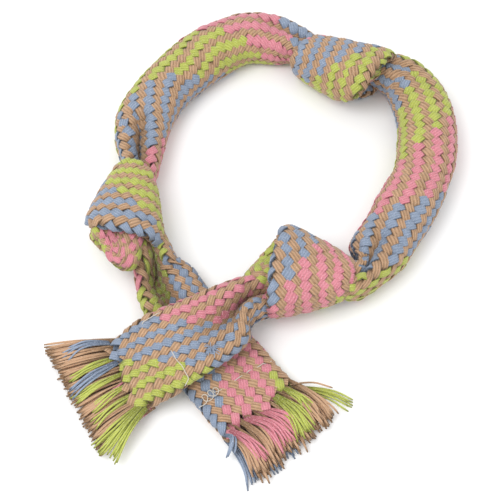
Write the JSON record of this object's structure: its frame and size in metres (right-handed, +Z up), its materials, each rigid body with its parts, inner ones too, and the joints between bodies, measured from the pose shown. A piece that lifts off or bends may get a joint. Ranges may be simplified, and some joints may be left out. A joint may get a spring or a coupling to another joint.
{
  "type": "rope dog toy",
  "caption": "Open ring of knotted tubular braid in jute and coloured cotton, with crossed tails that end in frayed fringes, for a dog to tug and chew.",
  "frame": {"origin": "on the floor under the middle of the toy's outline as it lies", "axes": "+Z up from the floor; +Y from the crossed tails towards the top of the ring; +X to the right of the ring"},
  "size_m": [0.182, 0.2412, 0.0267],
  "materials": {
    "jute": "coarse matte yarn",
    "cotton_blue": "soft matte yarn",
    "cotton_green": "soft matte yarn",
    "cotton_pink": "soft matte yarn",
    "sewing_thread": "fine pale thread"
  },
  "bodies": {
    "left_half": {"left_span": "jute", "left_knot_inner_strand": "jute", "left_knot_elbow": "jute", "left_knot_band": "jute", "left_knot_tucked_strand": "jute", "under_tail": "jute", "under_tail_stitch": "sewing_thread"},
    "top_knot": {"top_knot_inner_strand": "jute", "top_knot_elbow": "jute", "top_knot_band": "jute", "top_knot_tucked_strand": "jute"},
    "right_span": {"right_span": "jute"},
    "right_knot": {"right_knot_inner_strand": "jute", "right_knot_elbow": "jute", "right_knot_band": "jute", "right_knot_tucked_strand": "jute"},
    "over_tail": {"over_tail": "jute", "over_tail_stitch": "sewing_thread"},
    "over_tail_end": {"over_tail_end": "jute", "over_tail_fringe_1": "cotton_blue", "over_tail_fringe_2": "jute", "over_tail_fringe_3": "cotton_green", "over_tail_fringe_4": "jute", "over_tail_fringe_5": "cotton_green"},
    "under_tail_end": {"under_tail_end": "jute", "under_tail_fringe_1": "cotton_blue", "under_tail_fringe_2": "jute", "under_tail_fringe_3": "cotton_pink", "under_tail_fringe_4": "jute", "under_tail_fringe_5": "cotton_green"}
  },
  "joints": [
    {"name": "top_knot_lift", "type": "hinge", "parent": "left_half", "child": "top_knot", "pos_m": [0.01887, 0.10132, 0.01], "axis": [-0.7071, -0.7071, 0], "range_deg": [0, 30]},
    {"name": "right_span_lift", "type": "hinge", "parent": "top_knot", "child": "right_span", "pos_m": [0.06458, 0.08284, 0.01], "axis": [-0.8486, -0.5291, 0], "range_deg": [0, 30]},
    {"name": "right_knot_lift", "type": "hinge", "parent": "right_span", "child": "right_knot", "pos_m": [0.04253, -0.03011, 0.01], "axis": [-0.3011, 0.9536, 0], "range_deg": [0, 30]},
    {"name": "over_tail_lift", "type": "hinge", "parent": "right_knot", "child": "over_tail", "pos_m": [-0.00368, -0.04193, 0.013], "axis": [-0.5775, 0.8164, 0], "range_deg": [0, 30]},
    {"name": "over_tail_end_lift", "type": "hinge", "parent": "over_tail", "child": "over_tail_end", "pos_m": [-0.04516, -0.06895, 0.01448], "axis": [-0.4706, 0.8823, 0], "range_deg": [0, 45]},
    {"name": "under_tail_end_lift", "type": "hinge", "parent": "left_half", "child": "under_tail_end", "pos_m": [-0.01353, -0.08021, 0.00813], "axis": [-0.7931, -0.6091, 0], "range_deg": [0, 40]}
  ]
}
